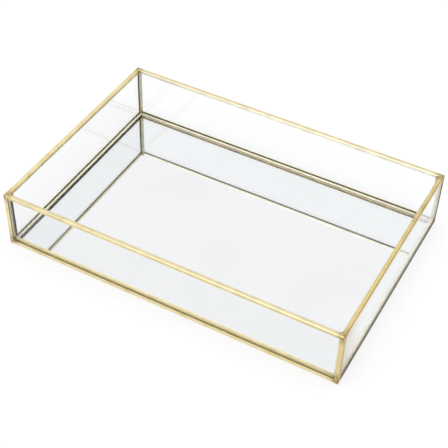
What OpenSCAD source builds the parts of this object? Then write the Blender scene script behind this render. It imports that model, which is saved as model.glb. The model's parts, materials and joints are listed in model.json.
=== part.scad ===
// Open rectangular vanity tray. Four clear glass walls and a mirrored floor sit in a frame of
// thin folded brass angles and channels, which solder joins at the corners.
// The origin is the centre of the underside, on the surface that the tray stands on.
// +X runs along the long side, +Y towards the back and +Z up.

/* [Tray] */
// Outside length, left to right
tray_length = 300; // [200:1:400]
// Outside depth, front to back
tray_depth = 203; // [140:1:300]
// Height from the feet to the top of the rim
tray_height = 54; // [40:1:90]

/* [Glass] */
// Thickness of the four wall panes
pane_thickness = 3; // [2:0.5:4]
// Thickness of the mirror's glass
mirror_thickness = 3; // [2:0.5:4]
// Thickness of the silver layer under the mirror's glass
silver_thickness = 0.1; // [0.1:0.1:0.3]
// Thickness of the protective paint under the silver
paint_thickness = 0.2; // [0.1:0.1:0.5]

/* [Brass frame] */
// Thickness of the folded brass sheet
sheet = 0.4; // [0.3:0.1:0.5]
// Inside radius of each fold in the sheet
fold_radius = 0.3; // [0.2:0.1:0.4]
// How far the rim channels come down over the panes
rim_side = 3; // [2:0.5:5]
// How far the outer angles cover the wall faces
outer_leg = 3.5; // [3:0.5:6]
// How far the outer base angles reach under the mirror
under_leg = 7; // [6:0.5:9]
// How far the inner angles reach past their folds
inner_reach = 2.4; // [1.5:0.1:3.5]
// How far the inner angles reach along the front pane
front_reach = 1; // [0.8:0.1:1.4]
// How far the front inner posts reach along the side panes
side_reach = 3.7; // [2:0.1:5]

/* [Solder] */
// Radius of the solder fillet under each rim corner
rim_solder_radius = 1.8; // [1:0.1:2.5]
// Radius of the solder fillet in each corner above the floor
floor_solder_radius = 1; // [0.6:0.1:1.4]
// Height of the solder fillet in each corner above the floor
floor_solder_height = 4; // [3:0.5:6]

/* [Feet] */
// Radius of each bumper foot
foot_radius = 5; // [3:0.5:8]
// How far the feet lift the brass off the surface
foot_height = 1; // [0.5:0.1:3]
// Radius of the rounded lower edge of each foot
foot_edge = 0.4; // [0.2:0.1:0.5]

/* [Hidden] */
$fn = 48;
SIDES = ["front", "right", "back", "left"];
CORNERS = ["front_left", "front_right", "back_right", "back_left"];
FRONT = 0;
// Clearance between glass and brass, between the mirror's layers, and at the frame's joints
glass_gap = 0.05;
layer_gap = 0.02;
seam_gap = 0.03;

// Distances inward from the outer face of a wall
pane_outside = sheet + glass_gap;
pane_inside = pane_outside + pane_thickness;
inner_angle_back = pane_inside + glass_gap;
wall_depth = inner_angle_back + sheet;

// Heights, from the surface that the tray stands on
frame_bottom = foot_height;
pane_bottom = frame_bottom + sheet + glass_gap;
paint_bottom = pane_bottom;
silver_bottom = paint_bottom + paint_thickness + layer_gap;
mirror_bottom = silver_bottom + silver_thickness + layer_gap;
inner_angle_bottom = mirror_bottom + mirror_thickness + glass_gap;
inner_angle_top = inner_angle_bottom + sheet;
rim_bottom = tray_height - rim_side;
post_top = rim_bottom - seam_gap;

fold_outside = fold_radius + sheet;
mitre_depth = under_leg + 1;
// Foot centres stand clear of the outer base angles
foot_inset = under_leg + foot_radius + 3;

BRASS = [0.86, 0.73, 0.42];
SOLDER = [0.72, 0.62, 0.42];
GLASS = [0.85, 0.92, 0.92, 0.3];
SILVER = [0.88, 0.89, 0.9];
PAINT = [0.35, 0.36, 0.38];
RUBBER = [0.9, 0.9, 0.9, 0.6];

// Sides are numbered anticlockwise from the front, seen from above
function is_long(side) = side % 2 == 0;
function side_length(side) = is_long(side) ? tray_length : tray_depth;
function upright_reach(side) = side == FRONT ? front_reach : inner_reach;
function upright_top(side) = inner_angle_top + upright_reach(side);
// Reach of an inner post along the pane of one of its two sides
function post_reach(corner, side) =
    side == FRONT ? front_reach : corner < 2 ? side_reach : inner_reach;

// Places children drawn with x along a side, y inward from its outer face and z up
module on_side(side) {
    span = is_long(side) ? tray_depth : tray_length;
    rotate([0, 0, 90 * side]) translate([0, -span / 2, 0]) children();
}

// Places children drawn with the corner's vertical edge on the z axis and the tray in +x, +y
module at_corner(corner) {
    on_side(corner) translate([-side_length(corner) / 2, 0, 0]) children();
}

// Section of a sheet folded once, with its outer corner at the origin
module angle_section(leg_x, leg_y) {
    translate([fold_outside, 0]) square([leg_x - fold_outside, sheet]);
    translate([0, fold_outside]) square([sheet, leg_y - fold_outside]);
    intersection() {
        square(fold_outside);
        translate([fold_outside, fold_outside]) difference() {
            circle(fold_outside);
            circle(fold_radius);
        }
    }
}

// Section of a sheet folded twice, open downward, with its top on y = 0
module channel_section(width, side_depth) {
    for (flip = [0, 1]) {
        translate([flip * width, 0]) mirror([flip, 0]) mirror([0, 1])
            angle_section(width / 2, side_depth);
    }
}

// Bar along x whose section is the 2D children, with 45 degree mitres at both ends
module mitred_bar(length) {
    half = length / 2 - seam_gap;
    intersection() {
        rotate([90, 0, 90]) linear_extrude(length, center = true) children();
        linear_extrude(tray_height) polygon([
            [-half, 0],
            [half, 0],
            [half - mitre_depth, mitre_depth],
            [mitre_depth - half, mitre_depth]
        ]);
    }
}

// Room for an outer post at both ends of a bar
module post_clearance(length) {
    for (flip = [0, 1]) {
        mirror([flip, 0, 0]) translate([-length / 2, 0, 0]) linear_extrude(tray_height) {
            square([outer_leg + seam_gap, sheet + seam_gap]);
            square(fold_outside + seam_gap);
        }
    }
}

// The long panes run the full length; the short panes stand between them
module wall_pane(side) {
    end_cover = is_long(side) ? pane_outside : inner_angle_back;
    length = side_length(side) - 2 * end_cover;
    height = tray_height - sheet - glass_gap - pane_bottom;
    color(GLASS) on_side(side)
        translate([-length / 2, pane_outside, pane_bottom])
            cube([length, pane_thickness, height]);
}

// One layer of the mirror, which fills the floor between the panes
module floor_layer(bottom, thickness) {
    length = tray_length - 2 * inner_angle_back;
    depth = tray_depth - 2 * inner_angle_back;
    translate([-length / 2, -depth / 2, bottom]) cube([length, depth, thickness]);
}

module mirror_glass() {
    color(GLASS) floor_layer(mirror_bottom, mirror_thickness);
}

module mirror_silvering() {
    color(SILVER) floor_layer(silver_bottom, silver_thickness);
}

module mirror_backing_paint() {
    color(PAINT) floor_layer(paint_bottom, paint_thickness);
}

// Channel folded over the top edge of a pane
module top_rim(side) {
    color(BRASS) on_side(side) mitred_bar(side_length(side))
        translate([0, tray_height]) channel_section(wall_depth, rim_side);
}

// Angle around the outside bottom edge, which carries the mirror on its lower leg
module outer_base_angle(side) {
    color(BRASS) on_side(side) difference() {
        mitred_bar(side_length(side))
            translate([0, frame_bottom]) angle_section(under_leg, outer_leg);
        post_clearance(side_length(side));
    }
}

// Angle in the inside bottom edge, with one leg on the mirror and one on the pane
module inner_base_angle(side) {
    color(BRASS) on_side(side) mitred_bar(side_length(side))
        translate([inner_angle_back, inner_angle_bottom])
            angle_section(sheet + inner_reach, sheet + upright_reach(side));
}

// Angle on an outside vertical edge
module outer_post(corner) {
    color(BRASS) at_corner(corner) translate([0, 0, frame_bottom])
        linear_extrude(post_top - frame_bottom) angle_section(outer_leg, outer_leg);
}

// Angle in an inside vertical edge, cut to stand on the uprights of two inner base angles
module inner_post(corner) {
    previous_side = (corner + 3) % 4;
    along_x = sheet + post_reach(corner, corner);
    along_y = sheet + post_reach(corner, previous_side);
    color(BRASS) at_corner(corner) translate([inner_angle_back, inner_angle_back, 0]) difference() {
        translate([0, 0, inner_angle_top])
            linear_extrude(post_top - inner_angle_top) angle_section(along_x, along_y);
        linear_extrude(upright_top(corner) + seam_gap)
            polygon([[0, 0], [mitre_depth, 0], [mitre_depth, mitre_depth]]);
        linear_extrude(upright_top(previous_side) + seam_gap)
            polygon([[0, 0], [mitre_depth, mitre_depth], [0, mitre_depth]]);
    }
}

// Fillet that fills a vertical inside corner at the origin
module fillet(radius, height) {
    linear_extrude(height) difference() {
        square(radius);
        translate([radius, radius]) circle(radius);
    }
}

// Solder between the inner sides of two rims
module rim_solder(corner) {
    color(SOLDER) at_corner(corner) translate([wall_depth, wall_depth, rim_bottom])
        fillet(rim_solder_radius, rim_side - sheet);
}

// Solder that joins two inner base angles and the post above them
module floor_solder(corner) {
    color(SOLDER) at_corner(corner) translate([wall_depth, wall_depth, inner_angle_top])
        fillet(floor_solder_radius, floor_solder_height);
}

// Clear bumper stuck to the mirror's back, between the lower legs of the base angles
module foot(corner) {
    height = paint_bottom - layer_gap;
    color(RUBBER) at_corner(corner) translate([foot_inset, foot_inset, 0]) rotate_extrude() {
        translate([0, foot_edge]) square([foot_radius, height - foot_edge]);
        square([foot_radius - foot_edge, height]);
        intersection() {
            translate([foot_radius - foot_edge, foot_edge]) circle(foot_edge);
            square([foot_radius, height]);
        }
    }
}

for (side = [0:3]) {
    name = SIDES[side];
    wall_pane(side);
    top_rim(side);
    outer_base_angle(side);
    inner_base_angle(side);
}
mirror_glass();
mirror_silvering();
mirror_backing_paint();
for (corner = [0:3]) {
    name = CORNERS[corner];
    outer_post(corner);
    inner_post(corner);
    rim_solder(corner);
    floor_solder(corner);
    foot(corner);
}
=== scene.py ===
"""Looks for the glass and brass vanity tray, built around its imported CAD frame."""
import json
import math

import bmesh
import bpy
from mathutils import Matrix, Vector, noise


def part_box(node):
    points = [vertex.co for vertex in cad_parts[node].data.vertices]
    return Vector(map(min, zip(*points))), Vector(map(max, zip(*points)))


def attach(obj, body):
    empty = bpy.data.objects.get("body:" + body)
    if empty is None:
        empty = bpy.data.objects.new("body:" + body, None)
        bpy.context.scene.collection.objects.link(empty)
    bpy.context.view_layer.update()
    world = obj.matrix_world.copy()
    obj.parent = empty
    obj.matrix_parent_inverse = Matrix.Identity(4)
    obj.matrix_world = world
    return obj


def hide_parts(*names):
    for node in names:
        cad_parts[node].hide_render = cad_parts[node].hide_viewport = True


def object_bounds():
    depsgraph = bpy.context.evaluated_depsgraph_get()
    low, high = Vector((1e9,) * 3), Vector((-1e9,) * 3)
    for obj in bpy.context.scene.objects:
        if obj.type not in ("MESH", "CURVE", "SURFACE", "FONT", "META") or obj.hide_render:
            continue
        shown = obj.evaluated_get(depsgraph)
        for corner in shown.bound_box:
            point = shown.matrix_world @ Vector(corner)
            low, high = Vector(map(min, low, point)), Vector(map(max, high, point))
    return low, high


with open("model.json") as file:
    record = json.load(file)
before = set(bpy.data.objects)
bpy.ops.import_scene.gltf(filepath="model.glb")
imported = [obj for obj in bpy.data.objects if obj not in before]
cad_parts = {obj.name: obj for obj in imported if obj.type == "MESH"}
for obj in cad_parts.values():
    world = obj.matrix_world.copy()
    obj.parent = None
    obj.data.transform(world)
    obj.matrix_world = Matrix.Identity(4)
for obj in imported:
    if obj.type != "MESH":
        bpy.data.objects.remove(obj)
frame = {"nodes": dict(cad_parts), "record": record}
cad_low, cad_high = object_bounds()

MM = 0.001

# Brass, from the palest, a painted highlight for the inner strips, to the deepest, painted shade for the
# right side
CREAM = (0.88, 0.83, 0.61, 1)
PALE = (0.83, 0.73, 0.42, 1)
GOLD = (0.72, 0.59, 0.27, 1)
DEEP_GOLD = (0.56, 0.43, 0.19, 1)

# Dull brass foil on the glass edges, where it is smooth and where it is crumpled
FOIL = (0.98, 0.74, 0.20, 1)
FOIL_DARK = (0.82, 0.58, 0.14, 1)

# Corners are numbered anticlockwise from the front left, seen from above
CORNERS = ("front_left", "front_right", "back_right", "back_left")

# Sizes read from the frame
half_length = cad_high.x
half_depth = cad_high.y
rim_low, rim_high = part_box("top_rim_front")
wall_depth = rim_high.y - rim_low.y
base_low, base_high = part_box("inner_base_angle_back")

# The inner base angles' uprights are painted dark, a painted shade, from the floor up to this height
HEEL_SHARE = 0.8
heel_top = base_low.z + HEEL_SHARE * (base_high.z - base_low.z)

# How far stains and specks reach from a soldered corner, and their colours
STAIN_REACH = 12 * MM
SPECK_REACH = 9 * MM
STAIN = (0.40, 0.28, 0.10, 1)
SPECK = (0.09, 0.06, 0.03, 1)

# Between which two values each group of faces begins or ends. Depths are from the tray's outside.
LEVEL_NORMAL = (0.55, 0.75)
END_NORMAL = (0.5, 0.7)
FACING_FADE = 0.03
SIDE_FADE = 0.05 * MM
HEEL_FADE = 0.1 * MM
EDGE_DEPTH = (0.7 * MM, 1.0 * MM)
CHANNEL_DEPTH = (2 * MM, 3 * MM)
TIP_DEPTH = (5.1 * MM, 5.3 * MM)


# ---------------------------------------------------------------- node helpers
def add(tree, kind, inputs=None, **settings):
    """Makes a node, sets its properties, and sets or links its inputs."""
    made = tree.nodes.new(kind)
    for key, value in settings.items():
        setattr(made, key, value)
    for key, value in (inputs or {}).items():
        if isinstance(value, bpy.types.NodeSocket):
            tree.links.new(value, made.inputs[key])
        else:
            made.inputs[key].default_value = value
    return made


def new_material(name):
    """A material with an empty tree and an output."""
    material = bpy.data.materials.new(name)
    material.use_nodes = True
    tree = material.node_tree
    tree.nodes.clear()
    output = tree.nodes.new("ShaderNodeOutputMaterial")
    return material, tree, output


def noise_field(tree, coords, scale, detail=2.0, roughness=0.5):
    """A noise texture's value. Scale is in features per metre."""
    made = add(tree, "ShaderNodeTexNoise", {
        "Vector": coords, "Scale": scale, "Detail": detail, "Roughness": roughness,
    })
    return made.outputs["Fac"]


def remap(tree, value, low, high, to_low, to_high, smooth=False):
    """Maps a value from one range to another, clamped."""
    made = add(tree, "ShaderNodeMapRange", {
        "Value": value, "From Min": low, "From Max": high, "To Min": to_low, "To Max": to_high,
    }, interpolation_type="SMOOTHSTEP" if smooth else "LINEAR")
    return made.outputs["Result"]


def maths(tree, operation, first, second=0.0):
    """One step of arithmetic on one or two values."""
    made = add(tree, "ShaderNodeMath", {0: first, 1: second}, operation=operation)
    return made.outputs[0]


def mix_colour(tree, factor, first, second):
    """The first colour where the factor is 0, and the second where it is 1."""
    made = add(tree, "ShaderNodeMix", {"Factor": factor, 6: first, 7: second}, data_type="RGBA")
    return made.outputs[2]


def darker(colour, share):
    """A share of a colour's brightness."""
    return tuple(share * part for part in colour[:3]) + (1,)


def mix_value(tree, factor, first, second):
    """The first value where the factor is 0, and the second where it is 1."""
    made = add(tree, "ShaderNodeMix", {"Factor": factor, 2: first, 3: second}, data_type="FLOAT")
    return made.outputs[0]


def stretched(tree, scale):
    """Object coordinates, scaled along each axis."""
    coords = tree.nodes.new("ShaderNodeTexCoord").outputs["Object"]
    made = add(tree, "ShaderNodeMapping", {"Vector": coords, "Scale": scale})
    return made.outputs["Vector"]


def end_distance(tree, reach):
    """1 at the tray's front, falling to 0 at reach metres behind it."""
    coords = tree.nodes.new("ShaderNodeTexCoord").outputs["Object"]
    split = add(tree, "ShaderNodeSeparateXYZ", {"Vector": coords})
    behind = maths(tree, "ADD", split.outputs["Y"], half_depth)
    return remap(tree, behind, 0.0, reach, 1.0, 0.0, smooth=True)


def joint_distance(tree, reach):
    """1 at the tray's eight soldered corners, falling to 0 at reach metres from them."""
    coords = tree.nodes.new("ShaderNodeTexCoord").outputs["Object"]
    split = add(tree, "ShaderNodeSeparateXYZ", {"Vector": coords})
    above = maths(tree, "ABSOLUTE", maths(tree, "SUBTRACT", split.outputs["Z"], rim_high.z))
    below = maths(tree, "ABSOLUTE", maths(tree, "SUBTRACT", split.outputs["Z"], base_low.z))
    offsets = (
        maths(tree, "SUBTRACT", half_length, maths(tree, "ABSOLUTE", split.outputs["X"])),
        maths(tree, "SUBTRACT", half_depth, maths(tree, "ABSOLUTE", split.outputs["Y"])),
        maths(tree, "MINIMUM", above, below),
    )
    offset = add(tree, "ShaderNodeCombineXYZ", dict(enumerate(offsets)))
    away = add(tree, "ShaderNodeVectorMath", {0: offset.outputs[0]}, operation="LENGTH")
    return remap(tree, away.outputs["Value"], 0.0, reach, 1.0, 0.0, smooth=True)


def face_masks(tree):
    """1 on one group of faces and 0 elsewhere.

    up and down are level faces. in and out are uprights that look into the tray or out of it. Groups
    ending in _x are on the left and right sides, and those ending in _y on the front and back.
    channel: uprights inside the rim channels. heel: the lower part of the uprights that look in.
    tip: the far part of an inner post's side leg. edge: the outermost strip of the up faces.
    brink: the same strip of the down faces. end: the end faces of panes and bars."""
    place = tree.nodes.new("ShaderNodeTexCoord")
    normal = add(tree, "ShaderNodeSeparateXYZ", {"Vector": place.outputs["Normal"]})
    point = add(tree, "ShaderNodeSeparateXYZ", {"Vector": place.outputs["Object"]})
    depth_x = maths(tree, "SUBTRACT", half_length, maths(tree, "ABSOLUTE", point.outputs["X"]))
    depth_y = maths(tree, "SUBTRACT", half_depth, maths(tree, "ABSOLUTE", point.outputs["Y"]))
    on_x = remap(tree, maths(tree, "SUBTRACT", depth_y, depth_x), -SIDE_FADE, SIDE_FADE, 0.0, 1.0)
    on_y = maths(tree, "SUBTRACT", 1.0, on_x)
    up = remap(tree, normal.outputs["Z"], *LEVEL_NORMAL, 0.0, 1.0)
    down = remap(tree, normal.outputs["Z"], -LEVEL_NORMAL[1], -LEVEL_NORMAL[0], 1.0, 0.0)
    upright = maths(tree, "SUBTRACT", 1.0, maths(tree, "ADD", up, down))
    facing = maths(tree, "ADD",
                   maths(tree, "MULTIPLY", normal.outputs["X"], point.outputs["X"]),
                   maths(tree, "MULTIPLY", normal.outputs["Y"], point.outputs["Y"]))
    inward = maths(tree, "MULTIPLY", upright, remap(tree, facing, -FACING_FADE, 0.0, 1.0, 0.0))
    outward = maths(tree, "MULTIPLY", upright, remap(tree, facing, 0.0, FACING_FADE, 0.0, 1.0))
    depth = maths(tree, "MINIMUM", depth_x, depth_y)
    groups = {"up": up, "down": down, "in": inward, "out": outward}
    masks = {}
    for key, mask in groups.items():
        masks[key] = mask
        masks[key + "_x"] = maths(tree, "MULTIPLY", mask, on_x)
        masks[key + "_y"] = maths(tree, "MULTIPLY", mask, on_y)
    tip = remap(tree, depth_y, *TIP_DEPTH, 0, 1)
    masks["tip_x"] = maths(tree, "MULTIPLY", masks["in_x"], tip)
    outermost = remap(tree, depth, *EDGE_DEPTH, 1.0, 0.0)
    masks["edge"] = maths(tree, "MULTIPLY", up, outermost)
    buried = remap(tree, depth, *CHANNEL_DEPTH, 1.0, 0.0)
    heel = remap(tree, point.outputs["Z"], heel_top - HEEL_FADE, heel_top + HEEL_FADE, 1.0, 0.0)
    strips = (("channel", "in", buried), ("heel", "in", heel), ("brink", "down", outermost))
    for name, group, strip in strips:
        for side in ("_x", "_y"):
            masks[name + side] = maths(tree, "MULTIPLY", masks[group + side], strip)
    across = maths(tree, "ADD",
                   maths(tree, "MULTIPLY", on_x, maths(tree, "ABSOLUTE", normal.outputs["Y"])),
                   maths(tree, "MULTIPLY", on_y, maths(tree, "ABSOLUTE", normal.outputs["X"])))
    masks["end"] = remap(tree, across, *END_NORMAL, 0.0, 1.0)
    return masks


# ---------------------------------------------------------------- materials
GLASS_IOR = 1.5
RUBBER_IOR = 1.48
AGED_WIDTH = 2.5 * MM


def glass_material(name, clear, tint, density, gloss, foiled, front_shade=None):
    """Clear float glass: its green tint shows only along a long path, such as through an edge.

    gloss is a share of glass's full reflection. The foiled groups of faces have dull brass foil folded
    over them, as soldered glasswork has. front_shade is the colour of a painted shade that darkens and
    warms the clear glass towards the front, and its reach."""
    material, tree, output = new_material(name)
    plain = stretched(tree, (1, 1, 1))
    smears = noise_field(tree, plain, 22, detail=3)
    ripple = noise_field(tree, plain, 9, detail=1)
    bump = add(tree, "ShaderNodeBump", {"Height": ripple, "Strength": 0.02, "Distance": 0.002})
    shader = add(tree, "ShaderNodeBsdfPrincipled", {
        "IOR": GLASS_IOR, "Specular Tint": (gloss, gloss, gloss, 1), "Normal": bump.outputs["Normal"],
        "Roughness": remap(tree, smears, 0.62, 0.85, 0.0, 0.03),
    })
    # Painted shade: the clear colour turns darker and warmer towards the front
    if front_shade:
        tone_shift, reach = front_shade
        shade_share = maths(tree, "MULTIPLY", end_distance(tree, reach),
                       remap(tree, smears, 0.3, 0.6, 0.85, 1.0))
        clear = mix_colour(tree, shade_share, clear, tone_shift)
    masks = face_masks(tree)
    foil = masks[foiled[0]]
    for group in foiled[1:]:
        foil = maths(tree, "MAXIMUM", foil, masks[group])
    crumple = noise_field(tree, plain, 300, detail=3)
    tone = mix_colour(tree, crumple, FOIL, FOIL_DARK)
    tree.links.new(mix_colour(tree, foil, clear, tone), shader.inputs["Base Color"])
    tree.links.new(maths(tree, "SUBTRACT", 1.0, foil), shader.inputs["Transmission Weight"])
    tree.links.new(maths(tree, "MULTIPLY", foil, 0.2), shader.inputs["Metallic"])
    absorb = add(tree, "ShaderNodeVolumeAbsorption", {"Color": tint, "Density": density})
    tree.links.new(shader.outputs[0], output.inputs["Surface"])
    tree.links.new(absorb.outputs[0], output.inputs["Volume"])
    return material


def brass_material(name, pale, deep, roughness, tones=None):
    """Polished brass with plating grain, soft dents, and stains and specks near the soldered corners.

    tones gives groups of faces painted light and shade, each group lighter or darker by which way it
    faces: a colour, how metallic it is, and how rough. Where groups overlap, the later one wins."""
    material, tree, output = new_material(name)
    plain = stretched(tree, (1, 1, 1))
    grain = noise_field(tree, plain, 1500, detail=3, roughness=0.6)
    patches = noise_field(tree, plain, 90, detail=4, roughness=0.6)
    waves = noise_field(tree, plain, 35, detail=1)
    stains = noise_field(tree, plain, 520, detail=4, roughness=0.6)
    specks = noise_field(tree, plain, 1100, detail=2)

    metal = mix_colour(tree, remap(tree, patches, 0.40, 0.72, 0.0, 1.0, smooth=True), pale, deep)
    dull = remap(tree, grain, 0.3, 0.7, roughness * 0.8, roughness * 1.3)
    metallic = 1.0
    if tones:
        masks = face_masks(tree)
        uneven = remap(tree, patches, 0.35, 0.7, 0.0, 1.0)
        for group, (tone, share, matt) in tones.items():
            mask = masks[group]
            # The group's painted light or shade, a little darker in random patches
            painted_tone = mix_colour(tree, uneven, tone, darker(tone, 0.8))
            metal = mix_colour(tree, mask, metal, painted_tone)
            metallic = mix_value(tree, mask, metallic, share)
            dull = mix_value(tree, mask, dull, matt)
    tan = maths(tree, "MULTIPLY", joint_distance(tree, STAIN_REACH),
                remap(tree, stains, 0.32, 0.56, 0.0, 1.0, smooth=True))
    dark = maths(tree, "MULTIPLY", joint_distance(tree, SPECK_REACH),
                 remap(tree, specks, 0.52, 0.66, 0.0, 0.9, smooth=True))
    colour = mix_colour(tree, tan, metal, STAIN)
    colour = mix_colour(tree, dark, colour, SPECK)

    height = maths(tree, "ADD", maths(tree, "MULTIPLY", grain, 0.04), waves)
    bump = add(tree, "ShaderNodeBump", {"Height": height, "Strength": 0.25, "Distance": 0.0006})
    shader = add(tree, "ShaderNodeBsdfPrincipled", {
        "Base Color": colour, "Metallic": metallic, "Roughness": dull,
        "Specular IOR Level": 0.0, "Normal": bump.outputs["Normal"],
    })
    tree.links.new(shader.outputs[0], output.inputs["Surface"])
    return material


def silver_material():
    """The mirror's silver layer, dulled and spotted along its short edges, and faintly along the long."""
    material, tree, output = new_material("mirror_silver")
    plain = stretched(tree, (1, 1, 1))
    spots = noise_field(tree, plain, 600, detail=4)
    tone_shift = noise_field(tree, plain, 14, detail=3)
    split = add(tree, "ShaderNodeSeparateXYZ", {"Vector": plain})
    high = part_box("mirror_silvering")[1]
    away_x = maths(tree, "SUBTRACT", high.x, maths(tree, "ABSOLUTE", split.outputs["X"]))
    away_y = maths(tree, "SUBTRACT", high.y, maths(tree, "ABSOLUTE", split.outputs["Y"]))
    long_edge = maths(tree, "MULTIPLY", remap(tree, away_y, 0.0, AGED_WIDTH, 1.0, 0.0), 0.1)
    edge = maths(tree, "MAXIMUM", remap(tree, away_x, 0.0, AGED_WIDTH, 1.0, 0.0), long_edge)
    aged = maths(tree, "MULTIPLY", edge, remap(tree, spots, 0.45, 0.6, 0.0, 0.8))
    clean = mix_colour(tree, remap(tree, tone_shift, 0.4, 0.7, 0.0, 1.0),
                       (0.935, 0.945, 0.95, 1), (0.915, 0.925, 0.93, 1))
    shader = add(tree, "ShaderNodeBsdfPrincipled", {
        "Base Color": mix_colour(tree, aged, clean, (0.28, 0.26, 0.22, 1)),
        "Metallic": 1.0, "Roughness": remap(tree, aged, 0.0, 1.0, 0.01, 0.4),
    })
    tree.links.new(shader.outputs[0], output.inputs["Surface"])
    return material


def paint_material():
    """Grey protective paint on the mirror's back, with brush marks and a fine stipple."""
    material, tree, output = new_material("backing_paint")
    strokes = noise_field(tree, stretched(tree, (0.12, 1, 1)), 260, detail=4)
    stipple = noise_field(tree, stretched(tree, (1, 1, 1)), 1400, detail=2)
    tone = mix_colour(tree, remap(tree, strokes, 0.35, 0.65, 0.0, 1.0),
                      (0.085, 0.09, 0.10, 1), (0.13, 0.135, 0.145, 1))
    height = maths(tree, "ADD", strokes, maths(tree, "MULTIPLY", stipple, 0.4))
    bump = add(tree, "ShaderNodeBump", {"Height": height, "Strength": 0.35, "Distance": 0.0002})
    shader = add(tree, "ShaderNodeBsdfPrincipled", {
        "Base Color": tone, "Roughness": remap(tree, stipple, 0.3, 0.7, 0.5, 0.75),
        "Normal": bump.outputs["Normal"],
    })
    tree.links.new(shader.outputs[0], output.inputs["Surface"])
    return material


def rubber_material():
    """Soft clear polyurethane, slightly cloudy."""
    material, tree, output = new_material("clear_rubber")
    cloud = noise_field(tree, stretched(tree, (1, 1, 1)), 500, detail=3)
    shader = add(tree, "ShaderNodeBsdfPrincipled", {
        "Base Color": mix_colour(tree, cloud, (0.90, 0.93, 0.93, 1), (0.78, 0.82, 0.81, 1)),
        "Roughness": remap(tree, cloud, 0.3, 0.7, 0.15, 0.35),
        "IOR": RUBBER_IOR, "Transmission Weight": 0.7,
    })
    tree.links.new(shader.outputs[0], output.inputs["Surface"])
    return material


def floor_material():
    """Pale matt paper."""
    material, tree, output = new_material("studio_floor")
    fibre = noise_field(tree, stretched(tree, (1, 1, 1)), 300, detail=3)
    shader = add(tree, "ShaderNodeBsdfPrincipled", {
        "Base Color": mix_colour(tree, fibre, (0.20, 0.20, 0.20, 1), (0.19, 0.19, 0.19, 1)),
        "Roughness": 0.8, "Specular IOR Level": 0.0,
        "Emission Color": (1, 1, 1, 1), "Emission Strength": 0.74,
    })
    tree.links.new(shader.outputs[0], output.inputs["Surface"])
    return material


CLEAR = (0.965, 0.972, 0.975, 1)
WHITE = (1, 1, 1, 1)
GREEN_EDGE = (0.62, 0.80, 0.66, 1)
EDGE_DENSITY = 7.0
WALL_GLOSS = 0.25
# The right pane's painted shade by the front right post: its colour, and how far back from the front it
# reaches
RIGHT_PAINTED_SHADE = ((0.70, 0.64, 0.50, 1), 45 * MM)
wall_glass = glass_material("wall_glass", CLEAR, GREEN_EDGE, EDGE_DENSITY, WALL_GLOSS, ("end",))
right_glass = glass_material("right_glass", CLEAR, GREEN_EDGE, EDGE_DENSITY, WALL_GLOSS, ("end",),
                             RIGHT_PAINTED_SHADE)
floor_glass = glass_material("mirror_glass", WHITE, GREEN_EDGE, EDGE_DENSITY, 1.0, ("in", "out"))

# Painted light and shade on the brass, lighter or darker by which way each group of faces looks: group of
# faces, then colour, share of metal and roughness
RIM_TONES = {
    "up_y": ((0.79, 0.70, 0.43, 1), 1.0, 0.3),
    "out_y": ((0.82, 0.70, 0.40, 1), 1.0, 0.35), "out_x": ((0.52, 0.40, 0.18, 1), 1.0, 0.35),
    "in_y": ((0.95, 0.92, 0.76, 1), 0.6, 0.4), "in_x": ((0.74, 0.64, 0.36, 1), 1.0, 0.4),
    "channel_x": ((0.90, 0.85, 0.66, 1), 0.0, 0.5), "channel_y": ((0.95, 0.92, 0.76, 1), 0.0, 0.5),
    "down_x": ((0.02, 0.02, 0.012, 1), 0.0, 0.5), "down_y": ((0.75, 0.73, 0.58, 1), 0.0, 0.5),
    "brink_x": ((0.85, 0.83, 0.68, 1), 0.0, 0.5), "brink_y": ((0.20, 0.19, 0.14, 1), 0.0, 0.5),
}
# The right rim has painted shade: darker brass overall and a dark strip along its top's outer edge, with
# a pale painted highlight on its outer side
RIGHT_RIM_TONES = dict(RIM_TONES, edge=((0.36, 0.27, 0.11, 1), 1.0, 0.35),
                       out_x=((0.82, 0.72, 0.50, 1), 0.0, 0.4))
rim_brass = brass_material("rim_brass", PALE, GOLD, 0.3, RIM_TONES)
right_rim_brass = brass_material("right_rim_brass", GOLD, DEEP_GOLD, 0.3, RIGHT_RIM_TONES)
outer_brass = brass_material("outer_brass", PALE, GOLD, 0.22)
# Painted shade on the front right post: darker than the other outer brass, and darker still on its
# right-facing side
front_right_brass = brass_material("front_right_brass", (0.74, 0.61, 0.31, 1), GOLD, 0.25,
                                   {"out_x": ((0.52, 0.40, 0.17, 1), 1.0, 0.3)})
# Painted shade on the back right post and the right base angle: dark brass, near black on the faces that
# look right and greyish on top, with a pale painted highlight on the faces that look in
right_shaded_brass = brass_material("right_shaded_brass", DEEP_GOLD, (0.38, 0.30, 0.14, 1), 0.3, {
    "out_x": ((0.06, 0.055, 0.04, 1), 0.0, 0.5),
    "in": ((0.88, 0.85, 0.72, 1), 0.0, 0.5),
    "up": ((0.42, 0.39, 0.29, 1), 0.0, 0.5),
})
# Inner base angles: the pale tops and outer faces are painted highlights, with the front top painted a
# deeper gold; faces looking left or right are painted darker than front and back; heels are painted
# shade; undersides are a painted reflection, dark at left and right, pale at front and back
FLOOR_TONES = {
    "up": ((0.98, 0.94, 0.73, 1), 0.0, 0.4),
    "in_x": ((0.60, 0.57, 0.42, 1), 0.0, 0.4), "in_y": ((0.85, 0.82, 0.64, 1), 0.0, 0.4),
    "heel_x": ((0.05, 0.045, 0.025, 1), 0.0, 0.4), "heel_y": ((0.13, 0.12, 0.07, 1), 0.0, 0.4),
    "out": ((1.00, 0.84, 0.32, 1), 0.0, 0.4),
    "down_x": ((0.18, 0.17, 0.11, 1), 0.0, 0.4), "down_y": ((0.98, 0.95, 0.80, 1), 1.0, 0.3),
}
FRONT_FLOOR_TONES = dict(FLOOR_TONES, up=((1.00, 0.85, 0.42, 1), 0.0, 0.4))
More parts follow.
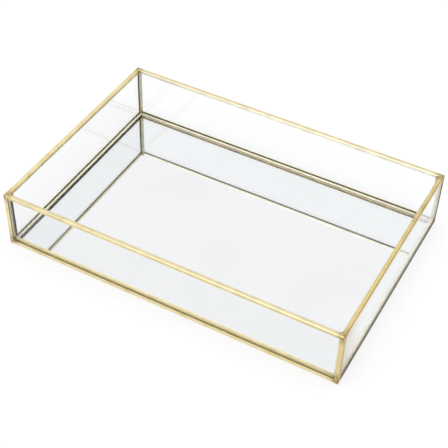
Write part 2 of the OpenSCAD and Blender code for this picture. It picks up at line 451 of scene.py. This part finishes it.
# Inner posts: near black, a painted shade, where they look left or right, and pale painted highlights
# where they look front, back or out; the back posts are grey there instead, with a dark painted shade on
# the far part of that leg
POST_TONES = {
    "in_x": ((0.012, 0.008, 0.003, 1), 0.0, 0.4), "in_y": ((0.92, 0.90, 0.74, 1), 0.0, 0.4),
    "out": ((1.00, 0.96, 0.74, 1), 0.8, 0.2),
}
BACK_POST_TONES = dict(POST_TONES, in_x=((0.56, 0.54, 0.42, 1), 0.0, 0.4),
                       tip_x=((0.04, 0.035, 0.02, 1), 0.0, 0.4))
floor_brass = brass_material("floor_brass", CREAM, PALE, 0.38, FLOOR_TONES)
front_floor_brass = brass_material("front_floor_brass", CREAM, PALE, 0.38, FRONT_FLOOR_TONES)
post_brass = brass_material("post_brass", CREAM, PALE, 0.4, POST_TONES)
back_post_brass = brass_material("back_post_brass", CREAM, PALE, 0.4, BACK_POST_TONES)
solder = brass_material("solder", (0.50, 0.38, 0.18, 1), (0.32, 0.22, 0.09, 1), 0.35)
materials = {
    "clear_glass": wall_glass,
    "mirror_glass": floor_glass,
    "silvering": silver_material(),
    "backing_paint": paint_material(),
    "brass": outer_brass,
    "solder": solder,
    "clear_rubber": rubber_material(),
}
# Nodes whose names start so have their own finish. The last that fits is used.
finish_by_part = {
    "right_pane": right_glass,
    "top_rim": rim_brass, "top_rim_right": right_rim_brass, "inner_base_angle": floor_brass,
    "inner_base_angle_front": front_floor_brass,
    "inner_post": post_brass, "inner_post_back": back_post_brass,
    "outer_post_front_right": front_right_brass,
    "outer_post_back_right": right_shaded_brass, "outer_base_angle_right": right_shaded_brass,
}
slot_of = {row["node"]: row["material_slot"] for row in frame["record"]["subparts"]}
for name, thing in frame["nodes"].items():
    finish = materials[slot_of[name]]
    for part, special in finish_by_part.items():
        if name.startswith(part):
            finish = special
    thing.data.materials.clear()
    thing.data.materials.append(finish)


# ---------------------------------------------------------------- solder joints
def corner_matrix(index):
    """Puts a shape drawn with the corner's vertical edge on the z axis, and the tray in +x, +y."""
    along = half_length if index % 2 == 0 else half_depth
    across = half_depth if index % 2 == 0 else half_length
    turn = Matrix.Rotation(math.pi / 2 * index, 4, "Z")
    return turn @ Matrix.Translation((-along, -across, 0))


def solder_joint(name, node, index, bottom, top, radii, seed, lumps):
    """A fillet in a vertical inside corner, whose hollow face swells and pinches as set solder does."""
    rows = 22
    columns = 12
    made = bmesh.new()
    place = corner_matrix(index)
    rings = []
    for row in range(rows + 1):
        share = row / rows
        height = bottom + (top - bottom) * share
        span = share * (len(radii) - 1)
        step = min(int(span), len(radii) - 2)
        radius = radii[step] + (radii[step + 1] - radii[step]) * (span - step)
        ring = [Vector((0, 0, height))]
        for column in range(columns + 1):
            angle = math.pi / 2 * column / columns
            rough = noise.noise(Vector((column * 0.45 + seed, share * 4.0, seed * 1.7)))
            swell = radius * (1 + lumps * rough)
            hollow = 0.62 + 0.25 * noise.noise(Vector((share * 3.0, seed, column * 0.2)))
            # Between a straight chamfer and a quarter circle, bulging towards the corner's centre
            arc = Vector((1 - math.sin(angle), 1 - math.cos(angle), 0))
            line = Vector((1 - column / columns, column / columns, 0))
            flat = arc.lerp(line, 1 - hollow)
            ring.append(Vector((flat.x * swell, flat.y * swell, height)))
        rings.append([made.verts.new(place @ (point + Vector((wall_depth, wall_depth, 0))))
                      for point in ring])
    for low, high in zip(rings, rings[1:]):
        count = len(low)
        for k in range(count):
            made.faces.new((low[k], low[(k + 1) % count], high[(k + 1) % count], high[k]))
    made.faces.new(list(reversed(rings[0])))
    made.faces.new(rings[-1])
    bmesh.ops.recalc_face_normals(made, faces=made.faces)
    mesh = bpy.data.meshes.new(name)
    made.to_mesh(mesh)
    made.free()
    for face in mesh.polygons:
        face.use_smooth = len(face.vertices) == 4
    piece = bpy.data.objects.new(name, mesh)
    bpy.context.scene.collection.objects.link(piece)
    mesh.materials.append(solder)
    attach(piece, "root")
    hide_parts(node)


# Each bead's radii, evenly spaced from its bottom to its top
RIM_BEAD = (0.5 * MM, 1.5 * MM, 2.0 * MM, 2.1 * MM, 1.7 * MM)
FLOOR_BEAD = (1.9 * MM, 1.6 * MM, 1.1 * MM, 0.9 * MM, 0.5 * MM)
for index, corner in enumerate(CORNERS):
    solder_joint("rim_solder_bead_" + corner, "rim_solder_" + corner, index,
                 rim_low.z - 0.4 * MM, rim_high.z - 0.25 * MM, RIM_BEAD, seed=3.1 + index, lumps=0.35)
    solder_joint("floor_solder_bead_" + corner, "floor_solder_" + corner, index,
                 base_low.z + 0.35 * MM, base_low.z + 4.6 * MM, FLOOR_BEAD, seed=8.3 + index, lumps=0.4)


# ---------------------------------------------------------------- floor, light and camera
FLOOR_HALF_WIDTH = 4.0
scene = bpy.context.scene
floor_mesh = bpy.data.meshes.new("studio_floor")
grid = bmesh.new()
bmesh.ops.create_grid(grid, x_segments=8, y_segments=8, size=FLOOR_HALF_WIDTH)
grid.to_mesh(floor_mesh)
grid.free()
studio_floor = bpy.data.objects.new("studio_floor", floor_mesh)
floor_mesh.materials.append(floor_material())
scene.collection.objects.link(studio_floor)


def direction(azimuth, elevation):
    """Unit vector. Azimuth 0 is +Y, 90 is +X; elevation is above the horizon. Degrees."""
    a = math.radians(azimuth)
    e = math.radians(elevation)
    return Vector((math.sin(a) * math.cos(e), math.cos(a) * math.cos(e), math.sin(e)))


def lobe(tree, ray, toward, inner, outer):
    """1 within inner degrees of a direction, falling smoothly to 0 at outer degrees."""
    dot = add(tree, "ShaderNodeVectorMath", {0: ray, 1: toward}, operation="DOT_PRODUCT")
    return remap(tree, dot.outputs["Value"], math.cos(math.radians(outer)),
                 math.cos(math.radians(inner)), 0.0, 1.0, smooth=True)


# The sky's brightness: all round, added overhead and at the front left, and its share at the back right
SKY_LEVEL = 0.98
OVERHEAD_LEVEL = 3.0
FRONT_LEFT_LEVEL = 0.7
BACK_RIGHT_SHARE = 0.93
world = bpy.data.worlds.new("studio")
scene.world = world
world.use_nodes = True
sky = world.node_tree
sky.nodes.clear()
ray = sky.nodes.new("ShaderNodeTexCoord").outputs["Generated"]
# Soft lamps and a shade: where each is, and how far from its middle it starts to fade and has faded out
overhead = lobe(sky, ray, direction(0, 90), 10, 32)
dark_back_right = lobe(sky, ray, direction(38, 40), 16, 28)
bright_front_left = lobe(sky, ray, direction(207, 44), 14, 34)
level = maths(sky, "ADD", SKY_LEVEL, maths(sky, "MULTIPLY", overhead, OVERHEAD_LEVEL))
level = maths(sky, "ADD", level, maths(sky, "MULTIPLY", bright_front_left, FRONT_LEFT_LEVEL))
level = maths(sky, "MULTIPLY", level, remap(sky, dark_back_right, 0, 1, 1, BACK_RIGHT_SHARE))
shade = add(sky, "ShaderNodeBackground", {"Color": (1.0, 0.99, 1.01, 1), "Strength": level})
add(sky, "ShaderNodeOutputWorld", {"Surface": shade.outputs[0]})

# The view: azimuth from the front towards the right, elevation above the horizon, and roll, in degrees
VIEW_AZIMUTH = 27.51
VIEW_ELEVATION = 43.84
VIEW_ROLL = 1.82
VIEW_DISTANCE = 0.8822
AIM = Vector((0.0065, -0.0170, 0.027))
LENS = 86.37
SENSOR_WIDTH = 36.0
view_azimuth = math.radians(VIEW_AZIMUTH)
view_elevation = math.radians(VIEW_ELEVATION)
back = Vector((math.sin(view_azimuth) * math.cos(view_elevation),
               -math.cos(view_azimuth) * math.cos(view_elevation),
               math.sin(view_elevation)))
camera_data = bpy.data.cameras.new("camera")
camera_data.lens = LENS
camera_data.sensor_width = SENSOR_WIDTH
camera = bpy.data.objects.new("camera", camera_data)
camera.rotation_mode = "QUATERNION"
camera.location = AIM + back * VIEW_DISTANCE
roll = Matrix.Rotation(math.radians(VIEW_ROLL), 3, "Z").to_quaternion()
camera.rotation_quaternion = (-back).to_track_quat("-Z", "Y") @ roll
scene.collection.objects.link(camera)
scene.camera = camera

scene.view_settings.view_transform = "Standard"
scene.view_settings.look = "None"
scene.cycles.max_bounces = 24
scene.cycles.transmission_bounces = 20
scene.cycles.glossy_bounces = 12
scene.cycles.use_denoising = True
